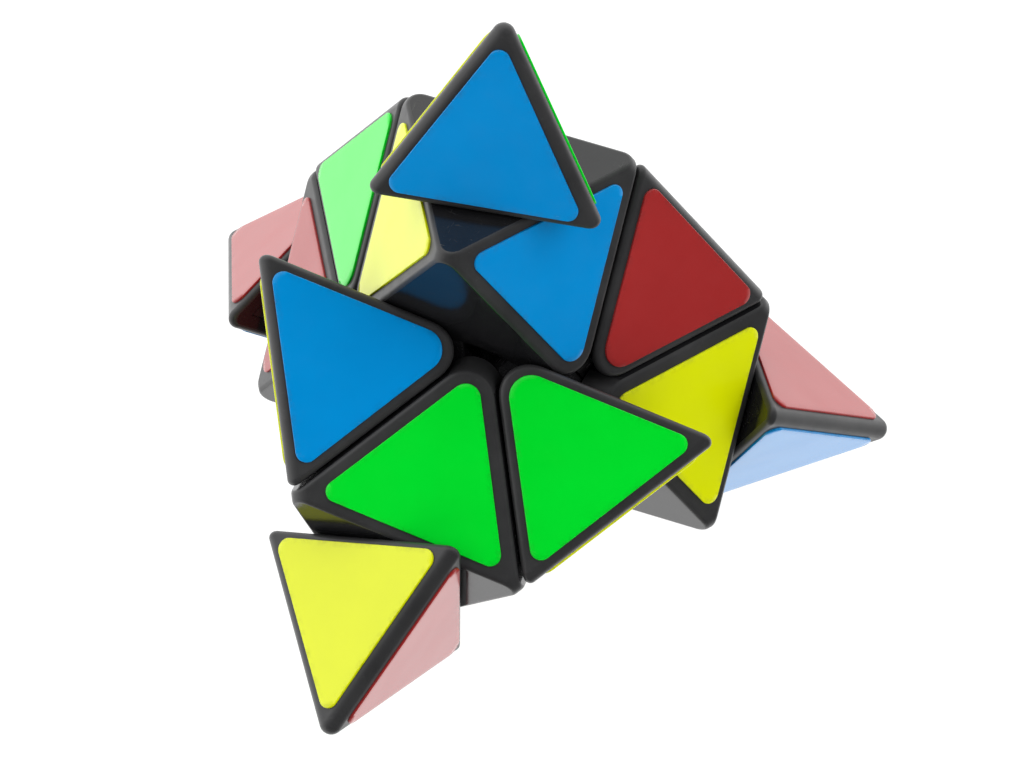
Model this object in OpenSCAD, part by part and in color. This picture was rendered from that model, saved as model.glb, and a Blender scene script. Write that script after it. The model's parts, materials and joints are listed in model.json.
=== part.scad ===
// Pyramid twisty puzzle: four corner layers and four tips that turn about a four-armed core.
// Each long edge of the pyramid is cut close to its thirds, with tips a little larger than a third.
// The puzzle is drawn part way through a turn, standing on the three corners that reach lowest.
// Lengths are in millimetres, turns in degrees.

/* [Outer shape] */
// length of each long edge of the pyramid
edge_length = 98; // [92:1:106]
// gap between neighbouring pieces
piece_gap = 0.3; // [0.2:0.05:0.4]
// radius of the rounded outer edges and of the points of the tips
edge_round = 1.5; // [1.2:0.1:1.8]
// radius of the outer corners of an axial piece
axial_round = 2.1; // [2:0.1:2.4]
// radius of the small rounding along the cuts between pieces
cut_round = 0.75; // [0.6:0.05:0.8]
// radius where an edge piece reaches the middle of a face
edge_middle_round = 4.2; // [3.6:0.1:4.6]
// radius where an axial piece reaches the middle of a face
axial_middle_round = 4.1; // [3.6:0.1:4.6]
// how much larger a tip is than a third of the pyramid, measured along its axis
tip_growth = 0.55; // [0.3:0.05:0.6]
// how much larger a corner layer is than two thirds of the pyramid, measured along its axis
layer_growth = 0.2; // [0:0.05:0.3]
// wall thickness of the hollow pieces
wall = 1.8; // [1.4:0.1:2]

/* [Turns] */
// turn of the layer around the front corner
front_layer_turn = 46.3; // [42.3:0.5:50.3]
// turn of the front tip within its layer
front_tip_turn = 38; // [33:1:43]
// turn of the top tip
top_tip_turn = -50; // [-55:1:-45]
// turn of the right tip
right_tip_turn = 53; // [48:1:58]
// turn of the left tip
left_tip_turn = 38; // [33:1:43]

/* [Stickers] */
// thickness of a sticker
sticker_thick = 0.3; // [0.1:0.05:0.4]
// margin between an edge piece's sticker and its outer edge
outer_margin = 2.2; // [2:0.1:2.6]
// margin between a tip's sticker and its outer edges
tip_outer_margin = 2.4; // [2.2:0.1:2.8]
// margin between a sticker and a cut
cut_margin = 1.8; // [1.5:0.1:2.2]
// margin between a sticker and the cut under a tip, on both sides of that cut
tip_cut_margin = 1.4; // [1.2:0.1:1.8]
// radius of a sticker's ordinary corners
sticker_round = 1.4; // [0.8:0.1:1.6]
// radius of an edge sticker's corner at the middle of a face
edge_sticker_round = 2.8; // [1.8:0.1:3]
// radius of an axial sticker's corner at the middle of a face
axial_sticker_round = 1.9; // [1.5:0.1:3]

/* [Mechanism] */
// radius of the ball in the middle of the core
ball_radius = 9.85; // [9:0.05:10.5]
// radius of the sphere that the feet of the pieces turn inside
foot_radius = 16.5; // [16:0.1:17]
// distance from the centre to the planes between the feet
foot_plane = 2.5; // [2:0.1:3]
// radius of the core's four arms
arm_radius = 3; // [2.8:0.1:3.4]
// distance from the centre to the end of an arm
arm_reach = 14; // [13:0.5:14.5]
// radial running clearance of every shaft in its hole
running_clearance = 0.06; // [0.03:0.01:0.1]
// shank radius of the screws
screw_radius = 1.25; // [1:0.05:1.4]
// radius of the stem that a tip turns on
stem_radius = 4; // [3.5:0.1:4.5]

/* [Hidden] */

// The four corners, by number, and the direction of each one from the centre.
FRONT = 0;
TOP = 1;
RIGHT = 2;
LEFT = 3;
corners = [FRONT, TOP, RIGHT, LEFT];
level = sqrt(8) / 3;
corner_dir = [
    [0, -level, -1 / 3],
    [0, 0, 1],
    [level * cos(30), level * sin(30), -1 / 3],
    [level * cos(150), level * sin(150), -1 / 3]
];

// Distances from the centre that follow from the length of a long edge.
side = edge_length / 3;                  // side of every small triangle
corner_reach = edge_length * sqrt(6) / 4;
face_dist = corner_reach / 3;
cut_step = side * sqrt(2 / 3);           // height of a tip
tip_plane = corner_reach - cut_step - tip_growth;            // cut under a tip
layer_plane = corner_reach - 2 * cut_step - layer_growth;    // cut under a layer
ring = side / sqrt(3);                   // from a corner's axis to a piece's corners
tip_ring = (corner_reach - tip_plane) / sqrt(2);

// Radius of the ball that fits inside a four-sided and an eight-sided piece.
tetra_inside = side * sqrt(6) / 12;
tip_inside = (corner_reach - tip_plane) / 4;
octa_inside = side * sqrt(6) / 6;

half_gap = piece_gap / 2;
smooth = 24;                             // facets around a large rounded corner
small_smooth = 16;                       // facets around a small rounded corner
coarse = 8;                              // facets around an inner corner
inner_round = 0.6;
edge_steps = 4;                          // steps from one side of a rounded edge to the other
reach = 80;                              // longer than any cut needs
eps = 0.01;

black = [0.07, 0.07, 0.07];
grey = [0.16, 0.16, 0.17];
steel = [0.62, 0.63, 0.65];
blue = [0.01, 0.4, 0.75];
green = [0, 0.7, 0.13];
yellow = [0.85, 0.88, 0.03];
red = [0.6, 0.12, 0.12];

// Heights along a corner's axis, from the centre outward.
arm_hole_depth = arm_reach - 4.5;
bush_floor = arm_reach + 0.2;            // underside of the floor that the spring presses on
spring_seat = bush_floor + 2;
spring_turns = 4;
spring_wire = 0.35;
spring_radius = 2.6;
spring_height = 4.8;
washer_seat = spring_seat + 0.1 + spring_height;
washer_thick = 0.6;
screw_head_seat = washer_seat + washer_thick;
screw_head_height = 2.2;
bush_radius = 6.2;
bush_top = 20;
counterbore = 3.7;
stem_end = tip_plane - half_gap - wall - 0.2;
tip_bore_radius = stem_radius + running_clearance;
tip_floor = tip_plane + half_gap;
boss_top = tip_plane + 9.5;
boss_radius = 3.2;
fit_gap = 0.04;                          // radial gap of parts pressed into each other

// ---------- directions and places ----------

function unit(v) = v / norm(v);

function turned(point, k, angle) =
    let (axis = corner_dir[k])
    point * cos(angle) + cross(axis, point) * sin(angle)
        + axis * (axis * point) * (1 - cos(angle));

// A corner of a solid, pulled in towards the solid's middle until it is inset from each face.
function pulled_in(point, middle, inset, inside) =
    middle + (point - middle) * (1 - inset / inside);

// A plane around a piece: the direction out of the piece, and the distance from the centre.
function face_without(dir) = [-dir, face_dist - half_gap];
function under(dir, height) = [dir, height - half_gap];
function over(dir, height) = [-dir, -height - half_gap];

function between(start, end, part) =
    let (angle = acos(start * end))
    (start * sin((1 - part) * angle) + end * sin(part * angle)) / sin(angle);

// Middles of the small balls that round the edge of two planes, where a third plane ends it.
function edge_end(first, second, last, radius) =
    let (
        along = cross(first[0], second[0]),
        slant = first[0] * second[0],
        a = first[1] - radius,
        b = second[1] - radius,
        axis_point = (first[0] * (a - slant * b) + second[0] * (b - slant * a)) / (1 - slant * slant)
    )
    [
        for (step = [0:edge_steps])
            let (
                way = between(first[0], second[0], step / edge_steps),
                start = axis_point + (radius - cut_round) * way,
                slide = (last[1] - cut_round - last[0] * start) / (last[0] * along)
            )
            start + along * slide
    ];

module facing(x_dir, y_dir, z_dir) {
    multmatrix([
        [x_dir.x, y_dir.x, z_dir.x, 0],
        [x_dir.y, y_dir.y, z_dir.y, 0],
        [x_dir.z, y_dir.z, z_dir.z, 0]
    ])
        children();
}

// Z along a corner's axis. The other three corners lie at 90, 210 and 330 degrees around it.
module at_corner(k) {
    y_dir = unit(corner_dir[(k + 1) % 4] + corner_dir[k] / 3);
    facing(cross(y_dir, corner_dir[k]), y_dir, corner_dir[k])
        children();
}

// Z through the middle of a long edge, and X along that edge.
module at_edge(a, b) {
    z_dir = unit(corner_dir[a] + corner_dir[b]);
    x_dir = unit(corner_dir[a] - corner_dir[b]);
    facing(x_dir, cross(z_dir, x_dir), z_dir)
        children();
}

// Z out of the face that has no corner k, and Y along that face in the direction of way.
module on_face(k, way) {
    z_dir = -corner_dir[k];
    y_dir = unit(way - (way * z_dir) * z_dir);
    facing(cross(y_dir, z_dir), y_dir, z_dir)
        translate([0, 0, face_dist - half_gap])
            children();
}

// ---------- turns and stance ----------

module turn(k, angle) {
    rotate(a = angle, v = corner_dir[k])
        children();
}

tip_turn = [front_tip_turn, top_tip_turn, right_tip_turn, left_tip_turn];

function others(k) = [for (j = corners) if (j != k) j];

function in_layer(k, point) = k == FRONT ? turned(point, FRONT, front_layer_turn) : point;

// The two faces that meet in the long edge between corners a and b.
function faces_at(a, b) = [for (k = corners) if (k != a && k != b) face_without(corner_dir[k])];

// The rounded corner of tip k that points along the long edge to corner j.
function tip_corner(k, j) =
    let (faces = faces_at(k, j))
    [
        for (p = edge_end(faces[0], faces[1], over(corner_dir[k], tip_plane), edge_round))
            in_layer(k, turned(p, k, tip_turn[k]))
    ];

// The rounded end of the edge piece between corners a and b that is nearest to corner a.
function edge_corner(a, b) =
    let (faces = faces_at(a, b))
    [
        for (p = edge_end(faces[0], faces[1], over(corner_dir[b], layer_plane), edge_round))
            in_layer(min(a, b), p)
    ];

function lowest(points, down) =
    let (depths = [for (p = points) p * down])
    points[search(max(depths), depths)[0]];

function level_up(points) = unit(cross(points[1] - points[0], points[2] - points[0]));

// The three corners that touch the table, and the way up that puts them level.
feet = [tip_corner(FRONT, LEFT), tip_corner(RIGHT, FRONT), edge_corner(LEFT, FRONT)];
rough_up = level_up([for (foot = feet) foot[edge_steps / 2]]);
soles = [for (foot = feet) lowest(foot, -rough_up)];
up = level_up(soles);
lean_axis = unit(cross(up, [0, 0, 1]));
lean = acos(up.z);

function leaned(point) =
    point * cos(lean) + cross(lean_axis, point) * sin(lean)
        + lean_axis * (lean_axis * point) * (1 - cos(lean));

points_of_tips = [
    for (k = corners) leaned(corner_dir[k] * (corner_reach - 3 * (edge_round + half_gap)))
];
outer_corners = [
    for (k = corners) for (j = others(k)) for (p = concat(tip_corner(k, j), edge_corner(k, j)))
        leaned(p)
];

// How far the middle of the outline lies from the puzzle's centre.
function off_centre(axis) =
    let (
        far = [for (p = points_of_tips) p * axis],
        near = [for (p = outer_corners) p * axis],
        high = max(max(far) + edge_round, max(near) + cut_round),
        low = min(min(far) - edge_round, min(near) - cut_round)
    )
    (high + low) / 2;

centre = [-off_centre([1, 0, 0]), -off_centre([0, 1, 0]), cut_round - soles[0] * up];

// Puts the leaning puzzle down on the floor, in the middle of its own outline.
module stand() {
    translate(centre)
        rotate(a = lean, v = lean_axis)
            children();
}

module on_core() {
    stand()
        children();
}

module on_layer() {
    stand()
        turn(FRONT, front_layer_turn)
            children();
}

// On the front layer for a piece that belongs to the front corner, and else on the core.
module on_piece(a, b) {
    if (a == FRONT || b == FRONT)
        on_layer()
            children();
    else
        on_core()
            children();
}

module on_tip(k) {
    on_piece(k, k)
        turn(k, tip_turn[k])
            children();
}

// ---------- shared solids ----------

// The hollow of a shell: flat sides and rounded corners, from [corner, radius] pairs.
module rounded(corner_list, middle, inside) {
    hull() {
        for (c = corner_list)
            translate(pulled_in(c[0], middle, c[1] + half_gap + wall, inside))
                sphere(r = c[1], $fn = coarse);
    }
}

// Small balls at every end of a piece's rounded edges.
module small_balls(ends) {
    for (end = ends)
        for (p = end)
            translate(p)
                sphere(r = cut_round, $fn = small_smooth);
}

// The round hollow under an outer piece, turned from short straight lines that clear the radius.
module ball_hollow(radius) {
    step = 9;
    rim = radius / cos(step / 2);
    rotate_extrude($fn = 96)
        polygon([[0, 0], for (a = [0:step:90]) [rim * cos(a), rim * sin(a)]]);
}

// The layer of space that the feet sweep, between the ball of the core and the outer pieces.
module foot_space() {
    difference() {
        sphere(r = foot_radius - half_gap, $fn = 96);
        sphere(r = ball_radius + half_gap, $fn = 96);
    }
}

module screw(head_radius, head_height, length) {
    slot = head_radius * 0.3;
    difference() {
        union() {
            cylinder(r = head_radius, h = head_height, $fn = 48);
            translate([0, 0, -length])
                cylinder(r = screw_radius, h = length + eps, $fn = 48);
        }
        for (a = [0, 90])
            rotate([0, 0, a])
                translate([0, 0, head_height])
                    cube([head_radius * 1.3, slot, head_height], center = true);
    }
}

// ---------- core ----------

module core_spider() {
    color(grey)
        on_core()
            difference() {
                union() {
                    sphere(r = ball_radius, $fn = 96);
                    for (k = corners)
                        at_corner(k)
                            cylinder(r = arm_radius, h = arm_reach, $fn = 48);
                }
                for (k = corners)
                    at_corner(k)
                        translate([0, 0, arm_reach - arm_hole_depth])
                            cylinder(r = screw_radius + fit_gap, h = reach, $fn = 48);
            }
}

module core_screws() {
    color(steel)
        on_core()
            for (k = corners)
                at_corner(k)
                    translate([0, 0, screw_head_seat])
                        screw(3, screw_head_height, screw_head_seat - arm_reach + arm_hole_depth - 1);
}

module core_washers() {
    color(steel)
        on_core()
            for (k = corners)
                at_corner(k)
                    translate([0, 0, washer_seat])
                        difference() {
                            cylinder(r = 3.4, h = washer_thick, $fn = 48);
                            translate([0, 0, -1])
                                cylinder(r = screw_radius + 0.15, h = washer_thick + 2, $fn = 48);
                        }
}

module coil() {
    steps = 14;
    sides = 6;
    rings = spring_turns * steps;
    rise = (spring_height - 2 * spring_wire) / rings;
    points = [
        for (i = [0:rings]) for (j = [0:sides - 1])
            let (
                along = 360 * i / steps,
                around = 360 * j / sides,
                r = spring_radius + spring_wire * cos(around)
            )
            [r * cos(along), r * sin(along), spring_wire + rise * i + spring_wire * sin(around)]
    ];
    skin = [
        for (i = [0:rings - 1]) for (j = [0:sides - 1])
            let (next = (j + 1) % sides)
            [i * sides + j, (i + 1) * sides + j, (i + 1) * sides + next, i * sides + next]
    ];
    first_end = [[for (j = [0:sides - 1]) j]];
    last_end = [[for (j = [0:sides - 1]) rings * sides + sides - 1 - j]];
    polyhedron(points, concat(skin, first_end, last_end));
}

module core_springs() {
    color(steel)
        on_core()
            for (k = corners)
                at_corner(k)
                    translate([0, 0, spring_seat + 0.05])
                        coil();
}

// ---------- axial pieces ----------

// The three planes between an axial foot and its neighbours, as a three-sided cone.
module axial_wedge() {
    low = foot_plane + half_gap;
    plane = foot_plane - half_gap;
    rotate([0, 0, 30])
        translate([0, 0, low])
            cylinder(
                h = foot_radius - low,
                r1 = 2 * (plane + low / 3) / level,
                r2 = 2 * (plane + foot_radius / 3) / level,
                $fn = 3
            );
}

module axial_foot() {
    difference() {
        union() {
            intersection() {
                foot_space();
                axial_wedge();
            }
            translate([0, 0, arm_reach - 1])
                cylinder(r = bush_radius, h = bush_top - arm_reach + 1, $fn = 96);
        }
        cylinder(r = arm_radius + running_clearance, h = bush_floor, $fn = 48);
        cylinder(r = screw_radius + running_clearance, h = reach, $fn = 48);
        translate([0, 0, spring_seat])
            cylinder(r = counterbore, h = reach, $fn = 48);
    }
}

out = [0, 0, 1];
turns_around = [90, 210, 330];

// The direction of another corner, as seen from a corner that lies straight up.
function spoke(a) = [level * cos(a), level * sin(a), -1 / 3];

function around(angles, radius, height) = [
    for (a = angles) [radius * cos(a), radius * sin(a), height]
];

octa_middle = [0, 0, (tip_plane + layer_plane) / 2];

axial_outer_ends = [
    for (a = turns_around) for (last = [under(out, tip_plane), under(spoke(a), layer_plane)])
        edge_end(face_without(spoke(a + 120)), face_without(spoke(a - 120)), last, axial_round)
];

axial_middle_ends = [
    for (a = turns_around) for (last = [face_without(spoke(a)), over(out, layer_plane)])
        edge_end(
            under(spoke(a + 120), layer_plane), under(spoke(a - 120), layer_plane),
            last, axial_middle_round
        )
];

module axial_hollow() {
    difference() {
        rounded(
            concat(
                [for (p = around(turns_around, ring, tip_plane)) [p, inner_round]],
                [
                    for (p = around([30, 150, 270], ring, layer_plane))
                        [p, axial_middle_round - wall]
                ]
            ),
            octa_middle, octa_inside
        );
        ball_hollow(foot_radius + half_gap + wall);
    }
}

module axial_shell() {
    difference() {
        hull()
            small_balls(concat(axial_outer_ends, axial_middle_ends));
        ball_hollow(foot_radius + half_gap);
        axial_hollow();
        cylinder(r = bush_radius + fit_gap, h = octa_middle.z, $fn = 96);
        translate([0, 0, octa_middle.z])
            cylinder(r = tip_bore_radius, h = reach, $fn = 96);
    }
}

// ---------- tips ----------

tip_middle = [0, 0, tip_plane + tip_inside];
tip_hollow = tip_ring * (1 - (half_gap + wall) / tip_inside);

tip_ends = [
    for (a = turns_around)
        edge_end(
            face_without(spoke(a + 120)), face_without(spoke(a - 120)), over(out, tip_plane), edge_round
        )
];

module tip_cap() {
    difference() {
        hull() {
            small_balls(tip_ends);
            translate([0, 0, corner_reach - 3 * (edge_round + half_gap)])
                sphere(r = edge_round, $fn = smooth);
        }
        rounded(
            [
                for (p = concat([out * corner_reach], around(turns_around, tip_ring, tip_plane)))
                    [p, inner_round]
            ],
            tip_middle, tip_inside
        );
        translate([0, 0, tip_plane])
            rotate([0, 0, 90])
                cylinder(r = tip_hollow, h = half_gap + wall + inner_round, $fn = 3);
    }
}

module tip_base() {
    difference() {
        union() {
            translate([0, 0, tip_floor])
                rotate([0, 0, 90])
                    cylinder(r = tip_hollow - 4 * fit_gap, h = wall, $fn = 3);
            translate([0, 0, stem_end])
                cylinder(r = stem_radius, h = tip_floor + eps - stem_end, $fn = 96);
            translate([0, 0, tip_floor])
                cylinder(r = boss_radius, h = boss_top - tip_floor, $fn = 48);
        }
        translate([0, 0, stem_end - 1])
            cylinder(r = screw_radius + fit_gap, h = boss_top - stem_end, $fn = 48);
    }
}

module tip_screw() {
    translate([0, 0, stem_end])
        rotate([180, 0, 0])
            screw(stem_radius + 1.3, screw_head_height, boss_top - stem_end - 2);
}

// ---------- edge pieces ----------

edge_low = edge_length / (6 * sqrt(2));
edge_middle = [0, 0, 2 * edge_low];

// Directions of the two corners at the ends of an edge piece, and of the two other corners.
function along_edge(way) = [way * sqrt(2 / 3), 0, 1 / sqrt(3)];
function across_edge(way) = [0, way * sqrt(2 / 3), -1 / sqrt(3)];

edge_outer_ends = [
    for (way = [-1, 1])
        edge_end(
            face_without(across_edge(1)), face_without(across_edge(-1)),
            over(along_edge(way), layer_plane), edge_round
        )
];

edge_middle_ends = [
    for (way = [-1, 1])
        edge_end(
            over(along_edge(1), layer_plane), over(along_edge(-1), layer_plane),
            face_without(across_edge(way)), edge_middle_round
        )
];

neck = [3.6, 11];

module edge_neck(extra) {
    translate([-neck.x / 2 - extra, -neck.y / 2 - extra, arm_reach])
        cube([neck.x + 2 * extra, neck.y + 2 * extra, 7 + extra]);
}

// The four planes between an edge foot and its neighbours.
module edge_wedge() {
    tilt_out = sqrt(2 / 3);
    tilt_up = 1 / sqrt(3);
    near = foot_plane + half_gap;
    far = foot_plane - half_gap;
    across = (tilt_up * foot_radius - near) / tilt_out;
    low_along = far / tilt_out;
    high_along = (far + tilt_up * foot_radius) / tilt_out;
    intersection() {
        rotate([90, 0, 0])
            linear_extrude(height = reach, center = true)
                polygon([[0, near / tilt_up], [across, foot_radius], [-across, foot_radius]]);
        rotate([90, 0, 90])
            linear_extrude(height = reach, center = true)
                polygon([
                    [-low_along, 0], [low_along, 0],
                    [high_along, foot_radius], [-high_along, foot_radius]
                ]);
    }
}

module edge_foot() {
    union() {
        intersection() {
            foot_space();
            edge_wedge();
        }
        edge_neck(0);
    }
}

module edge_hollow() {
    difference() {
        rounded(
            concat(
                [for (x = [-side, side] / 2) [[x, 0, 3 * edge_low], inner_round]],
                [for (y = [-side, side] / 2) [[0, y, edge_low], edge_middle_round - wall]]
            ),
            edge_middle, tetra_inside
        );
        ball_hollow(foot_radius + half_gap + wall);
    }
}

module edge_shell() {
    difference() {
        hull()
            small_balls(concat(edge_outer_ends, edge_middle_ends));
        ball_hollow(foot_radius + half_gap);
        edge_hollow();
        edge_neck(fit_gap);
    }
}

// ---------- stickers ----------

// Lines on a face, measured from its middle towards the piece that the sticker is on.
row = side * sqrt(3) / 2;                                // outer edge, from an edge piece
tip_line = (tip_plane - face_dist / 3) / level;          // cut under a tip
slip = 2 * (face_dist / 3 - layer_plane) / level;        // where two layer cuts cross

// A thin triangle with rounded corners. One side lies side_margin away from the line y = base,
// and the two others lie other_margin away from lines that cross at y = point.
module sticker(base, point, side_margin, other_margin, point_round) {
    way = sign(point - base);
    height = abs(point - base) - side_margin - 2 * other_margin;
    middle = [0, base + way * (side_margin + height / 3)];
    linear_extrude(height = sticker_thick)
        hull() {
            translate(middle + [0, way * (height * 2 / 3 - 2 * point_round)])
                circle(r = point_round, $fn = smooth);
            for (x = [-1, 1])
                translate(middle + [x / sqrt(3), -way / 3] * (height - 3 * sticker_round))
                    circle(r = sticker_round, $fn = smooth);
        }
}

module tip_sticker(k, face) {
    on_tip(k)
        on_face(face, corner_dir[k])
            sticker(tip_line, 2 * row, tip_cut_margin, tip_outer_margin, sticker_round);
}

// Sticker on the face without corner face, belonging to corner a, or to the edge from a to b.
module piece_sticker(face, a, b) {
    on_face(face, corner_dir[a] + corner_dir[b])
        if (a == b)
            sticker(tip_line, slip, tip_cut_margin, cut_margin, axial_sticker_round);
        else
            sticker(row, -slip, outer_margin, cut_margin, edge_sticker_round);
}

module piece_stickers(list, paint) {
    color(paint)
        for (s = list)
            piece_sticker(s[0], s[1], s[2]);
}

// Each entry is the corner that the face lacks, then the one or two corners of the piece.
core_blue = [
    [LEFT, TOP, TOP], [FRONT, RIGHT, RIGHT], [TOP, LEFT, LEFT],
    [FRONT, TOP, LEFT], [FRONT, RIGHT, LEFT]
];
core_green = [[FRONT, TOP, TOP], [FRONT, LEFT, LEFT], [RIGHT, TOP, LEFT]];
core_yellow = [[RIGHT, TOP, TOP], [LEFT, RIGHT, RIGHT], [FRONT, TOP, RIGHT]];
core_red = [[TOP, RIGHT, RIGHT], [RIGHT, LEFT, LEFT], [LEFT, TOP, RIGHT], [TOP, RIGHT, LEFT]];
layer_blue = [[LEFT, FRONT, TOP]];
layer_green = [[LEFT, FRONT, FRONT], [LEFT, FRONT, RIGHT], [RIGHT, FRONT, LEFT]];
layer_yellow = [[TOP, FRONT, FRONT], [RIGHT, FRONT, TOP], [TOP, FRONT, RIGHT]];
layer_red = [[RIGHT, FRONT, FRONT], [TOP, FRONT, LEFT]];

// ---------- placed parts ----------

module placed_axial_foot(k) {
    color(grey)
        on_piece(k, k)
            at_corner(k)
                axial_foot();
}

module placed_axial_shell(k) {
    color(black)
        on_piece(k, k)
            at_corner(k)
                axial_shell();
}

module placed_tip_base(k) {
    color(grey)
        on_tip(k)
            at_corner(k)
                tip_base();
}

module placed_tip_cap(k) {
    color(black)
        on_tip(k)
            at_corner(k)
                tip_cap();
}

module placed_tip_screw(k) {
    color(steel)
        on_tip(k)
            at_corner(k)
                tip_screw();
}

module placed_edge_foot(a, b) {
    color(grey)
        on_piece(a, b)
            at_edge(a, b)
                edge_foot();
}

module placed_edge_shell(a, b) {
    color(black)
        on_piece(a, b)
            at_edge(a, b)
                edge_shell();
}

module placed_tip_sticker(k, face, paint) {
    color(paint)
        tip_sticker(k, face);
}

module core_stickers(list, paint) {
    on_core()
        piece_stickers(list, paint);
}

module layer_stickers(list, paint) {
    on_layer()
        piece_stickers(list, paint);
}

core_spider();
core_screws();
core_springs();
core_washers();
placed_axial_foot(FRONT);  // front_axial_foot
placed_axial_foot(TOP);  // top_axial_foot
placed_axial_foot(RIGHT);  // right_axial_foot
placed_axial_foot(LEFT);  // left_axial_foot
placed_axial_shell(FRONT);  // front_axial_shell
placed_axial_shell(TOP);  // top_axial_shell
placed_axial_shell(RIGHT);  // right_axial_shell
placed_axial_shell(LEFT);  // left_axial_shell
placed_tip_base(FRONT);  // front_tip_base
placed_tip_base(TOP);  // top_tip_base
placed_tip_base(RIGHT);  // right_tip_base
placed_tip_base(LEFT);  // left_tip_base
placed_tip_cap(FRONT);  // front_tip_cap
placed_tip_cap(TOP);  // top_tip_cap
placed_tip_cap(RIGHT);  // right_tip_cap
placed_tip_cap(LEFT);  // left_tip_cap
placed_tip_screw(FRONT);  // front_tip_screw
placed_tip_screw(TOP);  // top_tip_screw
placed_tip_screw(RIGHT);  // right_tip_screw
placed_tip_screw(LEFT);  // left_tip_screw
placed_edge_foot(FRONT, TOP);  // front_top_edge_foot
placed_edge_foot(FRONT, RIGHT);  // front_right_edge_foot
placed_edge_foot(FRONT, LEFT);  // front_left_edge_foot
placed_edge_foot(TOP, RIGHT);  // top_right_edge_foot
placed_edge_foot(TOP, LEFT);  // top_left_edge_foot
placed_edge_foot(RIGHT, LEFT);  // right_left_edge_foot
placed_edge_shell(FRONT, TOP);  // front_top_edge_shell
placed_edge_shell(FRONT, RIGHT);  // front_right_edge_shell
placed_edge_shell(FRONT, LEFT);  // front_left_edge_shell
placed_edge_shell(TOP, RIGHT);  // top_right_edge_shell
placed_edge_shell(TOP, LEFT);  // top_left_edge_shell
placed_edge_shell(RIGHT, LEFT);  // right_left_edge_shell
core_stickers(core_blue, blue);  // core_stickers_blue
core_stickers(core_green, green);  // core_stickers_green
core_stickers(core_yellow, yellow);  // core_stickers_yellow
core_stickers(core_red, red);  // core_stickers_red
layer_stickers(layer_blue, blue);  // layer_stickers_blue
layer_stickers(layer_green, green);  // layer_stickers_green
layer_stickers(layer_yellow, yellow);  // layer_stickers_yellow
layer_stickers(layer_red, red);  // layer_stickers_red
placed_tip_sticker(FRONT, LEFT, yellow);  // front_tip_sticker_yellow
placed_tip_sticker(FRONT, RIGHT, green);  // front_tip_sticker_green
placed_tip_sticker(FRONT, TOP, red);  // front_tip_sticker_red
placed_tip_sticker(TOP, LEFT, blue);  // top_tip_sticker_blue
placed_tip_sticker(TOP, RIGHT, yellow);  // top_tip_sticker_yellow
placed_tip_sticker(TOP, FRONT, green);  // top_tip_sticker_green
placed_tip_sticker(RIGHT, LEFT, blue);  // right_tip_sticker_blue
placed_tip_sticker(RIGHT, TOP, yellow);  // right_tip_sticker_yellow
placed_tip_sticker(RIGHT, FRONT, red);  // right_tip_sticker_red
placed_tip_sticker(LEFT, RIGHT, red);  // left_tip_sticker_red
placed_tip_sticker(LEFT, TOP, blue);  // left_tip_sticker_blue
placed_tip_sticker(LEFT, FRONT, green);  // left_tip_sticker_green
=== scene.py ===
"""Looks of the pyramid twisty puzzle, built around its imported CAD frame.

The rounded shells, tip caps and vinyl stickers are made here as fine meshes. The parts of the
mechanism stay as they are in the CAD model, and get moulded plastic and steel materials.
"""

import json
import math
import random

import bmesh
import bpy
from mathutils import Matrix, Vector


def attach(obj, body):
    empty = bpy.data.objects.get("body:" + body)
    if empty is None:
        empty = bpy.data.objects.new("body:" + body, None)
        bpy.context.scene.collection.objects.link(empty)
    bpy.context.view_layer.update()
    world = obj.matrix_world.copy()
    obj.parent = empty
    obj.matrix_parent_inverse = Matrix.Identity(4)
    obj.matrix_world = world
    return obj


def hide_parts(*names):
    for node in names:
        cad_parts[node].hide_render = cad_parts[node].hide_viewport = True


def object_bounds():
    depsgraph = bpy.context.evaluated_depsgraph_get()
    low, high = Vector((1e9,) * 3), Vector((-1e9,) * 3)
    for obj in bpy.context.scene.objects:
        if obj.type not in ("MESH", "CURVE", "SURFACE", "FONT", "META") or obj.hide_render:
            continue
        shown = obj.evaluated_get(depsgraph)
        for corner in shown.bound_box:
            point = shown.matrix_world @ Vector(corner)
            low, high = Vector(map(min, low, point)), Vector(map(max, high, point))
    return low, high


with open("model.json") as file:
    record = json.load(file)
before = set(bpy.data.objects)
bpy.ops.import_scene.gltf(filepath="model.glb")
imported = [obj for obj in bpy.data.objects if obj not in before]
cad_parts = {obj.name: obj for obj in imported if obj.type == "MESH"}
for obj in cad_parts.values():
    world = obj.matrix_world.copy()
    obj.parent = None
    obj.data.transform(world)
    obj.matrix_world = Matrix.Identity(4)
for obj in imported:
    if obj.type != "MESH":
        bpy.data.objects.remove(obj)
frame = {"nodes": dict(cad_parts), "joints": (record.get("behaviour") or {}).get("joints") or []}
CAD_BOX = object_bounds()

MM = 0.001

# Outer shape, the same as in the CAD model.
EDGE = 98 * MM                      # long edge of the pyramid
SIDE = EDGE / 3                     # side of every small triangle
ROW = SIDE * math.sqrt(3) / 2       # height of every small triangle
REACH = EDGE * math.sqrt(6) / 4     # from the centre to a corner of the pyramid
FACE = REACH / 3                    # from the centre to a face
STEP = SIDE * math.sqrt(2 / 3)      # a third of the height of the pyramid
TIP_GROWTH = 0.55 * MM              # how much taller a tip is than that third
LAYER_GROWTH = 0.2 * MM             # how much taller a layer is than two of them
TIP_PLANE = REACH - STEP - TIP_GROWTH               # height of the cut under a tip
LAYER_PLANE = REACH - 2 * STEP - LAYER_GROWTH       # height of the cut under a layer
LEVEL = math.sqrt(8) / 3            # level part of the direction to another corner
HALF_GAP = 0.15 * MM                # half of the gap between two pieces

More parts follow.
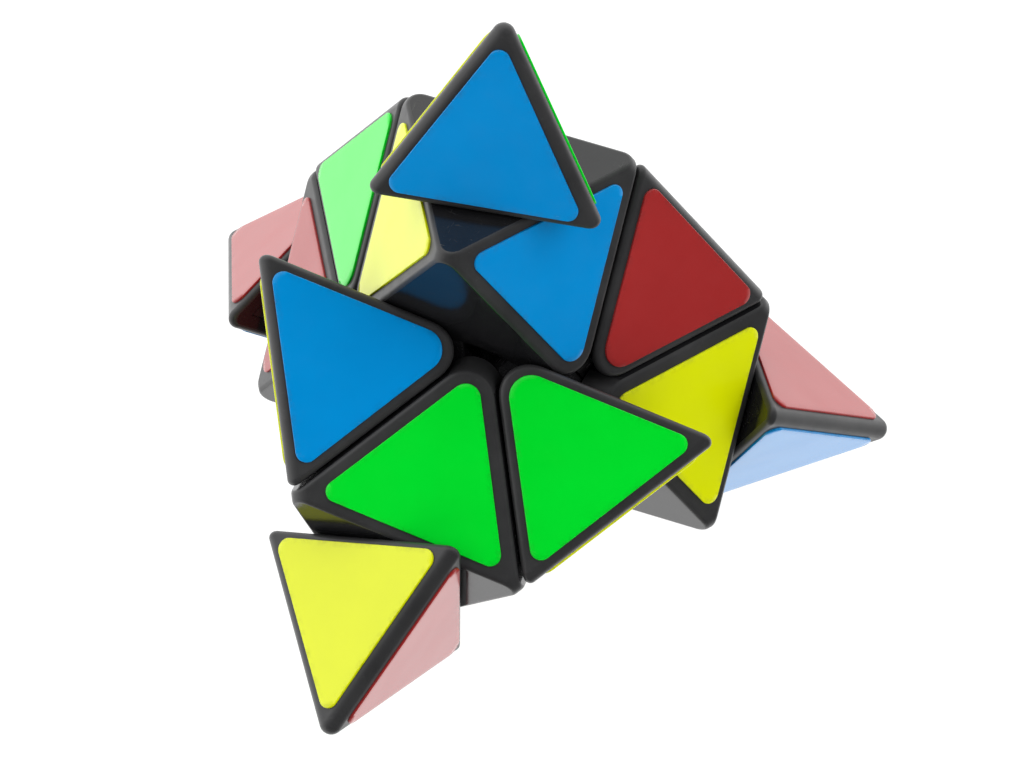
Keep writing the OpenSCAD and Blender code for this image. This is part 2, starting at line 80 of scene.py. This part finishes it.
# Openings in the shells, for the parts of the mechanism.
FOOT_RADIUS = 16.5 * MM             # ball that all the feet fill together
WALL = 1.8 * MM                     # floor of a tip's base
BUSH_RADIUS = 6.2 * MM
BUSH_SLACK = 0.04 * MM
BUSH_SPAN = (10 * MM, 21 * MM)      # lowest and highest point of the bush's bore
STEM_RADIUS = 4.06 * MM
STEM_SPAN = (28 * MM, 40 * MM)
NECK = (3.6 * MM, 11 * MM, 9 * MM)  # size of the slot for an edge piece's neck
NECK_MIDDLE = 17 * MM
CUTTER_SIDES = 64                   # facets around a bored hole

EDGE_ROUND = 1.5 * MM               # outer edges and points of the tips
AXIAL_ROUND = 2.1 * MM              # outer corners of an axial piece
CUT_ROUND = 0.75 * MM               # small rounding along the cuts
EDGE_MIDDLE_ROUND = 4.2 * MM        # corner of an edge piece at the middle of a face
AXIAL_MIDDLE_ROUND = 4.1 * MM       # the same for an axial piece
ARC_STEPS = 12                      # facets around a rounded edge
CUT_STEPS = 8                       # facets across a small rounding

STICKER_THICK = 0.3 * MM
OUTER_MARGIN = 2.2 * MM             # from an edge piece's sticker to its outer edge
TIP_OUTER_MARGIN = 2.4 * MM
CUT_MARGIN = 1.8 * MM
TIP_CUT_MARGIN = 1.4 * MM           # on both sides of the cut under a tip
STICKER_ROUND = 1.4 * MM
EDGE_STICKER_ROUND = 2.8 * MM       # at the middle of a face
AXIAL_STICKER_ROUND = 1.9 * MM      # at the middle of a face
SLIP_OFF = 0.04 * MM                # how far stickers are out of place, as a usual amount
TWIST_OFF = 0.2                     # how many degrees they are out of line

# Lines on a face, measured from its middle towards the piece that a sticker is on.
TIP_LINE = (TIP_PLANE - FACE / 3) / LEVEL           # cut under a tip
SLIP = 2 * (FACE / 3 - LAYER_PLANE) / LEVEL         # where two layer cuts cross

# Turns in degrees, as the CAD model stands at rest.
LAYER_TURN = 46.3
TIP_TURN = {"front": 38, "top": -50, "right": 53, "left": 38}

JOINTS = {joint["name"]: joint for joint in frame["joints"]}
CENTRE = Vector(JOINTS["front_layer_turn"]["pos_m"])
CORNERS = ("front", "top", "right", "left")
CORNER_DIR = {c: Vector(JOINTS[c + "_tip_turn"]["axis"]).normalized() for c in CORNERS}
EDGES = [(a, b) for i, a in enumerate(CORNERS) for b in CORNERS[i + 1:]]


# ---------- places ----------

def facing(x_dir, y_dir, z_dir):
    """A turn that takes the X, Y and Z axes to these directions."""
    return Matrix((x_dir, y_dir, z_dir)).transposed().to_4x4()


def at_corner(corner):
    """Z along a corner's axis, with the other corners at 90, 210 and 330 degrees around it."""
    other = CORNERS[(CORNERS.index(corner) + 1) % 4]
    z_dir = CORNER_DIR[corner]
    y_dir = (CORNER_DIR[other] + z_dir / 3).normalized()
    return facing(y_dir.cross(z_dir), y_dir, z_dir)


def at_edge(a, b):
    """Z through the middle of a long edge, and X along that edge."""
    z_dir = (CORNER_DIR[a] + CORNER_DIR[b]).normalized()
    x_dir = (CORNER_DIR[a] - CORNER_DIR[b]).normalized()
    return facing(x_dir, z_dir.cross(x_dir), z_dir)


def on_face(missing, way):
    """Z out of the face that lacks one corner, and Y along that face towards way."""
    z_dir = -CORNER_DIR[missing]
    y_dir = (way - way.dot(z_dir) * z_dir).normalized()
    return facing(y_dir.cross(z_dir), y_dir, z_dir) @ Matrix.Translation((0, 0, FACE - HALF_GAP))


def placed(corners, tip=None):
    """The turn and place of a piece that belongs to these corners, or of a tip."""
    place = Matrix.Translation(CENTRE)
    if "front" in corners:
        place = place @ Matrix.Rotation(math.radians(LAYER_TURN), 4, CORNER_DIR["front"])
    if tip:
        place = place @ Matrix.Rotation(math.radians(TIP_TURN[tip]), 4, CORNER_DIR[tip])
    return place


def body_of(corners):
    """The CAD body of a piece that isn't a tip."""
    return "front_layer" if "front" in corners else "core"


# ---------- rounded solids ----------

def direction_steps(start, end, steps):
    """Unit directions from start to end, both included, at even angles."""
    angle = start.angle(end)
    across = (end - start * start.dot(end)).normalized()
    turns = [angle * i / steps for i in range(steps + 1)]
    return [start * math.cos(t) + across * math.sin(t) for t in turns]


def face_without(direction):
    """The outer face opposite a corner: the direction out of the piece, and how far out."""
    return -direction, FACE - HALF_GAP


def under(direction, height):
    """The cut above a piece, square to a corner's axis."""
    return direction, height - HALF_GAP


def over(direction, height):
    """The cut below a piece, square to a corner's axis."""
    return -direction, -height - HALF_GAP


def edge_end(first, second, last, radius):
    """Points on the rounded end of an edge: two planes meet in it, and a third one ends it."""
    along = first[0].cross(second[0])
    slant = first[0].dot(second[0])
    a = first[1] - radius
    b = second[1] - radius
    middle_line = (first[0] * (a - slant * b) + second[0] * (b - slant * a)) / (1 - slant * slant)
    points = []
    for way in direction_steps(first[0], second[0], ARC_STEPS):
        start = middle_line + way * (radius - CUT_ROUND)
        slide = (last[1] - CUT_ROUND - last[0].dot(start)) / last[0].dot(along)
        ball = start + along * slide
        points += [ball + out * CUT_ROUND for out in direction_steps(last[0], way, CUT_STEPS)]
    return points


def ball_points(middle, radius, sides):
    """Points on the part of a ball that lies between three directions."""
    left = direction_steps(sides[0], sides[1], ARC_STEPS)
    right = direction_steps(sides[0], sides[2], ARC_STEPS)
    points = [middle + sides[0] * radius]
    for i in range(1, ARC_STEPS + 1):
        points += [middle + way * radius for way in direction_steps(left[i], right[i], i)]
    return points


def hull_mesh(name, points):
    """The convex mesh around some points."""
    bm = bmesh.new()
    for point in points:
        bm.verts.new(point)
    bmesh.ops.remove_doubles(bm, verts=bm.verts, dist=0.002 * MM)
    hull = bmesh.ops.convex_hull(bm, input=bm.verts)
    extra = set(hull["geom_interior"] + hull["geom_unused"])
    bmesh.ops.delete(bm, geom=[g for g in extra if isinstance(g, bmesh.types.BMVert)], context="VERTS")
    bmesh.ops.recalc_face_normals(bm, faces=bm.faces)
    mesh = bpy.data.meshes.new(name)
    bm.to_mesh(mesh)
    bm.free()
    return mesh


def add_object(name, mesh):
    obj = bpy.data.objects.new(name, mesh)
    bpy.context.scene.collection.objects.link(obj)
    return obj


def primitive(name, make, matrix=Matrix(), **sizes):
    """A cutting tool made by one bmesh operator."""
    bm = bmesh.new()
    make(bm, matrix=matrix, **sizes)
    mesh = bpy.data.meshes.new(name)
    bm.to_mesh(mesh)
    bm.free()
    return add_object(name, mesh)


def cut(obj, tools):
    """Takes the tools out of obj for good, and removes them."""
    for tool in tools:
        modifier = obj.modifiers.new("cut", "BOOLEAN")
        modifier.operation = "DIFFERENCE"
        modifier.solver = "EXACT"
        modifier.object = tool
    depsgraph = bpy.context.evaluated_depsgraph_get()
    result = bpy.data.meshes.new_from_object(obj.evaluated_get(depsgraph))
    obj.modifiers.clear()
    old = obj.data
    obj.data = result
    bpy.data.meshes.remove(old)
    for tool in tools:
        mesh = tool.data
        bpy.data.objects.remove(tool)
        bpy.data.meshes.remove(mesh)


def mark_cuts(obj, planes):
    """Marks the points that lie on the cuts between pieces, which have a polish from turning and a darker
    colour painted as shade for the hollows between pieces.
    """
    mark = obj.data.attributes.new("cut_face", "FLOAT", "POINT")
    for vert, value in zip(obj.data.vertices, mark.data):
        on_cut = any(abs(way.dot(vert.co) - height) < 0.01 * MM for way, height in planes)
        value.value = 1.0 if on_cut else 0.0


def finish_shell(obj, name, place, body, node, material):
    """Shades a finished shell, puts it in its place and ties it to the frame."""
    obj.data.name = name
    obj.data.transform(place)
    obj.data.shade_smooth()
    obj.data.set_sharp_from_angle(angle=math.radians(28))
    normals = obj.modifiers.new("weighted normals", "WEIGHTED_NORMAL")
    normals.keep_sharp = True
    normals.weight = 100
    obj.data.materials.clear()
    obj.data.materials.append(material)
    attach(obj, body)
    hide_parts(node)


def ball_tool():
    return primitive(
        "ball_tool", bmesh.ops.create_uvsphere, u_segments=96, v_segments=CUTTER_SIDES,
        radius=FOOT_RADIUS + HALF_GAP,
    )


def post_tool(radius, low, high):
    """A round cutter along Z, between two heights."""
    return primitive(
        "post_tool", bmesh.ops.create_cone, Matrix.Translation((0, 0, (low + high) / 2)),
        cap_ends=True, segments=CUTTER_SIDES, radius1=radius, radius2=radius, depth=high - low,
    )


UP = Vector((0, 0, 1))
SPOKES = (90, 210, 330)


def spoke(angle):
    """The direction of another corner, as seen from a corner that lies straight up."""
    turn = math.radians(angle)
    return Vector((LEVEL * math.cos(turn), LEVEL * math.sin(turn), -1 / 3))


def tip_shape():
    """A tip cap: a small pyramid, open below where its base sits."""
    top = UP * (REACH - 3 * (EDGE_ROUND + HALF_GAP))
    points = ball_points(top, EDGE_ROUND, [-spoke(a) for a in SPOKES])
    for a in SPOKES:
        faces = face_without(spoke(a + 120)), face_without(spoke(a - 120))
        points += edge_end(*faces, over(UP, TIP_PLANE), EDGE_ROUND)
    obj = add_object("tip", hull_mesh("tip", points))
    height = REACH - TIP_PLANE
    opening = height / math.sqrt(2) * (1 - (HALF_GAP + WALL) / (height / 4))
    prism = [
        opening * flat_direction(a) + UP * (TIP_PLANE + z)
        for a in SPOKES for z in (-MM, HALF_GAP + WALL)
    ]
    cut(obj, [add_object("base_tool", hull_mesh("base_tool", prism))])
    mark_cuts(obj, [over(UP, TIP_PLANE)])
    return obj


def axial_shape():
    """An axial shell: an eight-sided piece with a round hollow below and a bore for the tip."""
    points = []
    for a in SPOKES:
        faces = face_without(spoke(a + 120)), face_without(spoke(a - 120))
        cuts = under(spoke(a + 120), LAYER_PLANE), under(spoke(a - 120), LAYER_PLANE)
        points += edge_end(*faces, under(UP, TIP_PLANE), AXIAL_ROUND)
        points += edge_end(*faces, under(spoke(a), LAYER_PLANE), AXIAL_ROUND)
        points += edge_end(*cuts, face_without(spoke(a)), AXIAL_MIDDLE_ROUND)
        points += edge_end(*cuts, over(UP, LAYER_PLANE), AXIAL_MIDDLE_ROUND)
    obj = add_object("axial", hull_mesh("axial", points))
    cut(obj, [
        ball_tool(),
        post_tool(BUSH_RADIUS + BUSH_SLACK, *BUSH_SPAN),
        post_tool(STEM_RADIUS, *STEM_SPAN),
    ])
    side_cuts = [under(spoke(a), LAYER_PLANE) for a in SPOKES]
    mark_cuts(obj, [under(UP, TIP_PLANE), over(UP, LAYER_PLANE)] + side_cuts)
    return obj


def edge_shape():
    """An edge shell: a four-sided piece with a round hollow below and a slot for its foot."""
    out = math.sqrt(2 / 3)
    ends = [Vector((way * out, 0, 1 / math.sqrt(3))) for way in (-1, 1)]
    sides = [Vector((0, way * out, -1 / math.sqrt(3))) for way in (-1, 1)]
    faces = [face_without(side) for side in sides]
    cuts = [over(end, LAYER_PLANE) for end in ends]
    points = []
    for cut_plane in cuts:
        points += edge_end(*faces, cut_plane, EDGE_ROUND)
    for face in faces:
        points += edge_end(*cuts, face, EDGE_MIDDLE_ROUND)
    obj = add_object("edge", hull_mesh("edge", points))
    slot = Matrix.Translation((0, 0, NECK_MIDDLE)) @ Matrix.Diagonal((*NECK, 1))
    cut(obj, [ball_tool(), primitive("neck_tool", bmesh.ops.create_cube, slot, size=1)])
    mark_cuts(obj, cuts)
    return obj


# ---------- stickers ----------

def rounded_triangle(base, point, side_margin, other_margin, point_round, inset):
    """Outline of a sticker, drawn in from its own edge by inset.

    One side lies a margin away from the line y = base. The two others lie another margin away
    from lines that cross at y = point.
    """
    way = math.copysign(1, point - base)
    height = abs(point - base) - side_margin - 2 * other_margin
    middle = Vector((0, base + way * (side_margin + height / 3), 0))
    outline = []
    for turn, radius in ((90, point_round), (210, STICKER_ROUND), (330, STICKER_ROUND)):
        turn *= way
        reach = height * 2 / 3 - 2 * radius
        circle = middle + reach * flat_direction(turn)
        for i in range(ARC_STEPS + 1):
            bend = 60 * way * (2 * i / ARC_STEPS - 1)
            outline.append(circle + (radius - inset) * flat_direction(turn + bend))
    return outline if way > 0 else list(reversed(outline))


def flat_direction(angle):
    return Vector((math.cos(math.radians(angle)), math.sin(math.radians(angle)), 0))


def add_sticker(bm, place, shape, luck):
    """One thin vinyl sticker with a softly rounded rim, put on a little out of true as by hand."""
    slip = Matrix.Translation((luck.gauss(0, SLIP_OFF), luck.gauss(0, SLIP_OFF), 0))
    twist = Matrix.Rotation(math.radians(luck.gauss(0, TWIST_OFF)), 4, "Z")
    middle = Vector((0, (2 * shape[0] + shape[1]) / 3, 0))
    place = place @ slip @ Matrix.Translation(middle) @ twist @ Matrix.Translation(-middle)
    rim = bm.verts.layers.float["rim"]
    tone = bm.verts.layers.float["tone"]
    shade = luck.uniform(0, 1)
    loops = [
        (0, 0, 1), (0, 0.6 * STICKER_THICK, 1), (0.03 * MM, 0.85 * STICKER_THICK, 1),
        (0.09 * MM, STICKER_THICK, 1), (0.9 * MM, STICKER_THICK, 0),
    ]
    rings = []
    for inset, height, wear in loops:
        ring = []
        for point in rounded_triangle(*shape, inset):
            vert = bm.verts.new(place @ (point + Vector((0, 0, height))))
            vert[rim] = wear
            vert[tone] = shade
            ring.append(vert)
        rings.append(ring)
    count = len(rings[0])
    for lower, upper in zip(rings, rings[1:]):
        for i in range(count):
            j = (i + 1) % count
            bm.faces.new((lower[i], lower[j], upper[j], upper[i]))
    bm.faces.new(rings[-1])
    bm.faces.new(list(reversed(rings[0])))


def sticker_piece(node, stickers, body, material):
    """One object with all the stickers of a colour on a body."""
    luck = random.Random(node)
    bm = bmesh.new()
    bm.verts.layers.float.new("rim")
    bm.verts.layers.float.new("tone")
    for place, shape in stickers:
        add_sticker(bm, place, shape, luck)
    mesh = bpy.data.meshes.new("vinyl_" + node)
    bm.to_mesh(mesh)
    bm.free()
    mesh.shade_smooth()
    mesh.set_sharp_from_angle(angle=math.radians(50))
    obj = add_object("vinyl_" + node, mesh)
    normals = obj.modifiers.new("weighted normals", "WEIGHTED_NORMAL")
    normals.keep_sharp = True
    mesh.materials.append(material)
    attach(obj, body)
    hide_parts(node)


# The lines that bound a sticker, its margins to them, and the radius of its point.
TIP_SHAPE = (TIP_LINE, 2 * ROW, TIP_CUT_MARGIN, TIP_OUTER_MARGIN, STICKER_ROUND)
EDGE_SHAPE = (ROW, -SLIP, OUTER_MARGIN, CUT_MARGIN, EDGE_STICKER_ROUND)
AXIAL_SHAPE = (TIP_LINE, SLIP, TIP_CUT_MARGIN, CUT_MARGIN, AXIAL_STICKER_ROUND)

# The face that each sticker is on, named by the corner it lacks, and the corners of its piece.
PIECE_STICKERS = {
    "core_stickers_blue": [
        ("left", "top"), ("front", "right"), ("top", "left"),
        ("front", "top", "left"), ("front", "right", "left"),
    ],
    "core_stickers_green": [("front", "top"), ("front", "left"), ("right", "top", "left")],
    "core_stickers_yellow": [("right", "top"), ("left", "right"), ("front", "top", "right")],
    "core_stickers_red": [
        ("top", "right"), ("right", "left"), ("left", "top", "right"), ("top", "right", "left"),
    ],
    "layer_stickers_blue": [("left", "front", "top")],
    "layer_stickers_green": [
        ("left", "front"), ("left", "front", "right"), ("right", "front", "left"),
    ],
    "layer_stickers_yellow": [
        ("top", "front"), ("right", "front", "top"), ("top", "front", "right"),
    ],
    "layer_stickers_red": [("right", "front"), ("top", "front", "left")],
}
TIP_STICKERS = {
    "front": {"yellow": "left", "green": "right", "red": "top"},
    "top": {"blue": "left", "yellow": "right", "green": "front"},
    "right": {"blue": "left", "yellow": "top", "red": "front"},
    "left": {"red": "right", "blue": "top", "green": "front"},
}


def piece_sticker(face, corners):
    """Place and shape of the sticker on an axial piece, or on an edge piece if there are two."""
    way = sum((CORNER_DIR[c] for c in corners), Vector())
    return placed(corners) @ on_face(face, way), EDGE_SHAPE if len(corners) == 2 else AXIAL_SHAPE


def tip_sticker(corner, face):
    place = placed([corner], tip=corner) @ on_face(face, CORNER_DIR[corner])
    return place, TIP_SHAPE


# ---------- materials ----------

class Nodes:
    """A short way to write one material's shader nodes."""

    def __init__(self, name):
        self.material = bpy.data.materials.new(name)
        self.material.use_nodes = True
        self.tree = self.material.node_tree
        self.shader = self.tree.nodes["Principled BSDF"]
        coordinates = self.tree.nodes.new("ShaderNodeTexCoord")
        self.place = self.vector("SCALE", coordinates.outputs["Object"], 1 / MM)

    def link(self, source, target):
        self.tree.links.new(source, target)

    def set(self, **values):
        for name, value in values.items():
            self.shader.inputs[name.replace("_", " ")].default_value = value

    def vector(self, operation, source, value):
        node = self.tree.nodes.new("ShaderNodeVectorMath")
        node.operation = operation
        self.link(source, node.inputs[0])
        node.inputs["Scale" if operation == "SCALE" else 1].default_value = value
        return node.outputs[0]

    def noise(self, per_mm, detail=3, rough=0.5, place=None, distortion=0):
        node = self.tree.nodes.new("ShaderNodeTexNoise")
        self.link(place or self.place, node.inputs["Vector"])
        node.inputs["Scale"].default_value = per_mm
        node.inputs["Detail"].default_value = detail
        node.inputs["Roughness"].default_value = rough
        node.inputs["Distortion"].default_value = distortion
        return node.outputs["Fac"]

    def span(self, source, low, high, to_low, to_high):
        """source, taken from one range to another."""
        node = self.tree.nodes.new("ShaderNodeMapRange")
        self.link(source, node.inputs["Value"])
        limits = {"From Min": low, "From Max": high, "To Min": to_low, "To Max": to_high}
        for name, value in limits.items():
            node.inputs[name].default_value = value
        return node.outputs["Result"]

    def math(self, operation, first, second):
        node = self.tree.nodes.new("ShaderNodeMath")
        node.operation = operation
        for socket, value in zip(node.inputs, (first, second)):
            if isinstance(value, (int, float)):
                socket.default_value = value
            else:
                self.link(value, socket)
        return node.outputs[0]

    def mix(self, factor, first, second):
        """A colour between two colours, or between a socket's colour and a colour."""
        node = self.tree.nodes.new("ShaderNodeMix")
        node.data_type = "RGBA"
        self.link(factor, node.inputs["Factor"])
        for socket, value in zip((node.inputs[6], node.inputs[7]), (first, second)):
            if isinstance(value, tuple):
                socket.default_value = (*value, 1)
            else:
                self.link(value, socket)
        return node.outputs[2]

    def attribute(self, name):
        node = self.tree.nodes.new("ShaderNodeAttribute")
        node.attribute_name = name
        return node.outputs["Fac"]

    def bump(self, height, distance, strength=1.0, before=None):
        node = self.tree.nodes.new("ShaderNodeBump")
        node.inputs["Distance"].default_value = distance
        node.inputs["Strength"].default_value = strength
        self.link(height, node.inputs["Height"])
        if before is not None:
            self.link(before, node.inputs["Normal"])
        return node.outputs["Normal"]

    def scuffs(self, stretch, per_mm, low, high):
        """Thin streaks: noise drawn out along one direction, with only its peaks kept."""
        drawn = self.vector("MULTIPLY", self.place, stretch)
        return self.span(self.noise(per_mm, 2, 0.6, drawn, 0.4), low, high, 0, 1)

    def finish(self, colour, roughness, normal):
        self.link(colour, self.shader.inputs["Base Color"])
        self.link(roughness, self.shader.inputs["Roughness"])
        self.link(normal, self.shader.inputs["Normal"])
        return self.material


def shell_material():
    """Black moulded plastic: satin with a fine grain outside, with a smooth polish on the cuts, where a
    darker colour is painted shade for the hollows between pieces.
    """
    n = Nodes("shell_plastic")
    n.set(IOR=1.45)
    cut_polish_and_shade = n.attribute("cut_face")
    cloud = n.span(n.noise(0.12, 5, 0.6), 0.35, 0.7, 0, 1)
    # On the cuts the colour is darker: painted shade for the hollows between the pieces. Only the lower
    # roughness there is the real polish.
    dark = n.mix(cut_polish_and_shade, (0.023, 0.023, 0.024), (0.009, 0.009, 0.010))
    light = n.mix(cut_polish_and_shade, (0.034, 0.034, 0.035), (0.014, 0.014, 0.015))
    marks = n.math(
        "MAXIMUM", n.scuffs((0.15, 1, 1), 2.2, 0.66, 0.74), n.scuffs((1, 0.12, 0.8), 2.6, 0.68, 0.76)
    )
    colour = n.mix(cloud, dark, light)
    colour = n.mix(n.math("MULTIPLY", marks, 0.3), colour, (0.06, 0.06, 0.06))
    uneven = n.span(n.noise(0.5, 4, 0.6), 0.3, 0.7, -0.04, 0.04)
    roughness = n.math("ADD", n.span(cut_polish_and_shade, 0, 1, 0.4, 0.13), uneven)
    roughness = n.math("ADD", roughness, n.math("MULTIPLY", marks, 0.1))
    grain = n.bump(n.noise(9, 2), 0.004 * MM)
    sunk = n.bump(n.noise(0.09, 2), 0.04 * MM, before=grain)
    scratched = n.bump(n.math("SUBTRACT", 1, marks), 0.004 * MM, before=sunk)
    return n.finish(colour, roughness, scratched)


def inner_material():
    """Smoother black plastic of the mechanism, with rub marks."""
    n = Nodes("inner_plastic")
    n.set(IOR=1.5)
    colour = n.mix(n.span(n.noise(0.2, 4), 0.35, 0.7, 0, 1), (0.009, 0.009, 0.010), (0.016, 0.016, 0.017))
    rubbed = n.scuffs((1, 0.1, 1), 3, 0.6, 0.72)
    colour = n.mix(n.math("MULTIPLY", rubbed, 0.4), colour, (0.05, 0.05, 0.052))
    roughness = n.span(n.noise(0.35, 4, 0.7), 0.3, 0.7, 0.16, 0.28)
    roughness = n.math("ADD", roughness, n.math("MULTIPLY", rubbed, 0.15))
    normal = n.bump(n.noise(6, 2), 0.004 * MM)
    return n.finish(colour, roughness, normal)


def steel_material():
    """Zinc-plated steel with a fine drawn grain and a little tarnish."""
    n = Nodes("steel")
    n.set(Metallic=1.0)
    tarnish = n.span(n.noise(0.8, 5, 0.6), 0.35, 0.75, 0, 1)
    colour = n.mix(tarnish, (0.68, 0.68, 0.69), (0.42, 0.41, 0.4))
    roughness = n.span(n.noise(5, 3), 0.3, 0.7, 0.2, 0.38)
    return n.finish(colour, roughness, n.bump(n.noise(14, 2), 0.006 * MM))


VINYL = {
    "blue": ((0.0005, 0.25, 0.62), (0.0005, 0.215, 0.55)),
    "green": ((0.0005, 0.70, 0.026), (0.0005, 0.62, 0.02)),
    "yellow": ((0.70, 0.76, 0.001), (0.64, 0.70, 0.001)),
    "red": ((0.36, 0.027, 0.027), (0.31, 0.021, 0.021)),
}


def vinyl_material(colour):
    """Glossy vinyl: slightly uneven ink, faint waves from the plastic below, a dulled rim."""
    n = Nodes("vinyl_" + colour)
    n.set(IOR=1.5)
    light, deep = VINYL[colour]
    blotch = n.span(n.noise(0.1, 4, 0.6), 0.3, 0.7, 0, 1)
    uneven = n.math("MULTIPLY", n.math("ADD", blotch, n.attribute("tone")), 0.5)
    shade = n.mix(uneven, light, deep)
    worn = n.math("MULTIPLY", n.attribute("rim"), n.span(n.noise(0.9, 4, 0.7), 0.45, 0.7, 0, 0.5))
    shade = n.mix(worn, shade, tuple(0.55 * c for c in deep))
    hairlines = n.scuffs((0.1, 1, 0.7), 2.4, 0.68, 0.77)
    roughness = n.span(n.noise(0.35, 4, 0.6), 0.3, 0.7, 0.09, 0.15)
    roughness = n.math("ADD", roughness, n.math("MULTIPLY", hairlines, 0.12))
    roughness = n.math("ADD", roughness, n.math("MULTIPLY", worn, 0.4))
    peel = n.bump(n.noise(1.6, 2), 0.003 * MM)
    waves = n.bump(n.noise(0.13, 1), 0.06 * MM, before=peel)
    return n.finish(shade, roughness, waves)


# ---------- the object ----------

def build_shells(material):
    tip = tip_shape()
    axial = axial_shape()
    edge = edge_shape()
    for corner in CORNERS:
        name = corner + "_tip"
        obj = add_object("shell_" + name, tip.data.copy())
        place = placed([corner], tip=corner) @ at_corner(corner)
        finish_shell(obj, obj.name, place, name, corner + "_tip_cap", material)
        obj = add_object("shell_" + corner + "_axial", axial.data.copy())
        place = placed([corner]) @ at_corner(corner)
        finish_shell(obj, obj.name, place, body_of([corner]), corner + "_axial_shell", material)
    for a, b in EDGES:
        name = a + "_" + b + "_edge"
        obj = add_object("shell_" + name, edge.data.copy())
        place = placed([a, b]) @ at_edge(a, b)
        finish_shell(obj, obj.name, place, body_of([a, b]), name + "_shell", material)
    for pattern in (tip, axial, edge):
        mesh = pattern.data
        bpy.data.objects.remove(pattern)
        bpy.data.meshes.remove(mesh)


def build_stickers(materials):
    for node, entries in PIECE_STICKERS.items():
        colour = node.rsplit("_", 1)[1]
        body = "core" if node.startswith("core") else "front_layer"
        stickers = [piece_sticker(face, corners) for face, *corners in entries]
        sticker_piece(node, stickers, body, materials[colour])
    for corner, faces in TIP_STICKERS.items():
        for colour, face in faces.items():
            node = corner + "_tip_sticker_" + colour
            stickers = [tip_sticker(corner, face)]
            sticker_piece(node, stickers, corner + "_tip", materials[colour])


def dress_mechanism(plastic, steel):
    """Gives the carried-over CAD parts their materials."""
    for name, obj in frame["nodes"].items():
        if obj.hide_render:
            continue
        metal = name in ("core_screws", "core_springs", "core_washers") or name.endswith("_tip_screw")
        for slot in obj.material_slots:
            slot.material = steel if metal else plastic


# ---------- the stage ----------

CAMERA_AZIMUTH = 27.466
CAMERA_ELEVATION = 28.973
CAMERA_ROLL = -10.673
CAMERA_DISTANCE = 1.1328
CAMERA_AIM = (0.00750, 0.00867, 0.02689)
CAMERA_LENS = 310.47
CAMERA_TURN = (
    Matrix.Rotation(math.radians(CAMERA_AZIMUTH), 4, "Z")
    @ Matrix.Rotation(math.radians(90 - CAMERA_ELEVATION), 4, "X")
    @ Matrix.Rotation(math.radians(CAMERA_ROLL), 4, "Z")
)

SURROUND_WAY = (-135, 5)            # azimuth and elevation of the brightest part of the surround
SURROUND_FADE = (-0.6, 0.3)         # cosines of the angles to it where the white begins and is full
SURROUND_STRENGTH = 1.75
LAMP_SIZE = 1.4
LAMP_DISTANCE = 1.7


def build_floor():
    """A white floor that glows evenly and that the puzzle stands on; the puzzle's gloss doesn't show it.
    """
    bm = bmesh.new()
    bmesh.ops.create_grid(bm, x_segments=1, y_segments=1, size=3)
    mesh = bpy.data.meshes.new("floor")
    bm.to_mesh(mesh)
    bm.free()
    floor = add_object("floor", mesh)
    floor.location.z = CAD_BOX[0][2] - 0.02 * MM
    n = Nodes("floor")
    n.set(Roughness=0.9, Specular_IOR_Level=0.1, Emission_Color=(1, 1, 1, 1), Emission_Strength=1.0)
    tone = n.mix(n.noise(0.01, 2), (0.1, 0.1, 0.1), (0.12, 0.12, 0.12))
    n.link(tone, n.shader.inputs["Base Color"])
    mesh.materials.append(n.material)
    floor.visible_glossy = False


def direction(azimuth, elevation):
    """A direction from the puzzle: azimuth 0 is -Y, and 90 is X."""
    return Matrix.Rotation(math.radians(azimuth), 3, "Z") @ (
        Matrix.Rotation(math.radians(-elevation), 3, "X") @ Vector((0, -1, 0))
    )


def add_lamp(name, way, power):
    """A round soft lamp that shines on the puzzle from one direction, in watts."""
    data = bpy.data.lights.new(name, "AREA")
    data.shape = "DISK"
    data.size = LAMP_SIZE
    data.energy = power
    lamp = bpy.data.objects.new(name, data)
    bpy.context.scene.collection.objects.link(lamp)
    lamp.location = CENTRE + LAMP_DISTANCE * way
    lamp.rotation_euler = (-way).to_track_quat("-Z", "Y").to_euler()
    lamp.visible_glossy = False


def build_light():
    """A bright white surround behind and to the left, and two lamps that the gloss doesn't show."""
    world = bpy.data.worlds.new("surround")
    world.use_nodes = True
    tree = world.node_tree
    background = tree.nodes["Background"]
    coordinates = tree.nodes.new("ShaderNodeTexCoord")
    towards = tree.nodes.new("ShaderNodeVectorMath")
    towards.operation = "DOT_PRODUCT"
    towards.inputs[1].default_value = direction(*SURROUND_WAY)
    fade = tree.nodes.new("ShaderNodeMapRange")
    fade.interpolation_type = "SMOOTHSTEP"
    fade.inputs["From Min"].default_value = SURROUND_FADE[0]
    fade.inputs["From Max"].default_value = SURROUND_FADE[1]
    fade.inputs["To Min"].default_value = 0
    fade.inputs["To Max"].default_value = SURROUND_STRENGTH
    tree.links.new(coordinates.outputs["Generated"], towards.inputs[0])
    tree.links.new(towards.outputs["Value"], fade.inputs["Value"])
    tree.links.new(fade.outputs["Result"], background.inputs["Strength"])
    background.inputs["Color"].default_value = (1, 1, 1, 1)
    bpy.context.scene.world = world
    add_lamp("right_lamp", direction(86, 26), 15)
    add_lamp("front_lamp", direction(-4, 38), 9)
    bpy.context.scene.view_settings.view_transform = "Standard"


def build_camera():
    data = bpy.data.cameras.new("camera")
    data.lens = CAMERA_LENS
    data.sensor_width = 36
    data.clip_start = 0.01
    data.clip_end = 20
    camera = bpy.data.objects.new("camera", data)
    bpy.context.scene.collection.objects.link(camera)
    back = Matrix.Translation((0, 0, CAMERA_DISTANCE))
    camera.matrix_world = Matrix.Translation(CAMERA_AIM) @ CAMERA_TURN @ back
    bpy.context.scene.camera = camera


build_shells(shell_material())
build_stickers({colour: vinyl_material(colour) for colour in VINYL})
dress_mechanism(inner_material(), steel_material())
build_floor()
build_light()
build_camera()
